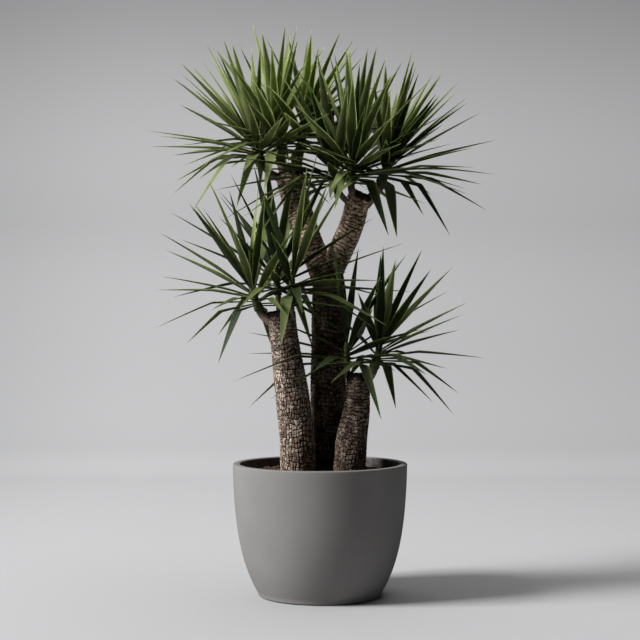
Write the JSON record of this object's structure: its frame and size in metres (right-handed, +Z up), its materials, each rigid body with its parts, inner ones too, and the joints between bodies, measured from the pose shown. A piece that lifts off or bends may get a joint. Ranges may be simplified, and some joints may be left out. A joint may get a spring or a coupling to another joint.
{
  "type": "potted yucca",
  "caption": "Potted yucca: thick ringed canes with heads of sword-shaped leaves, standing in soil in a round matte planter with a tapered foot.",
  "frame": {"origin": "middle of the planter's foot, on the floor plane", "axes": "+Z up along the planter's axis, +X to the right and -Y towards the viewer as in the front view"},
  "size_m": [0.9724, 0.8142, 1.5923],
  "materials": {
    "pot_clay": "matte",
    "soil": "matte",
    "bark": "matte",
    "leaf": "satin"
  },
  "bodies": {
    "root": {"pot": "pot_clay", "soil": "soil", "cane_left": "bark", "cane_right": "bark", "trunk": "bark", "head_top_left": "leaf", "head_top_front": "leaf", "head_top_right": "leaf", "head_fork_left": "leaf", "head_fork_front": "leaf", "head_fork_right": "leaf", "head_low_left": "leaf", "head_low_back": "leaf", "head_low_right": "leaf", "head_side_left": "leaf", "head_side_right": "leaf"}
  },
  "joints": []
}
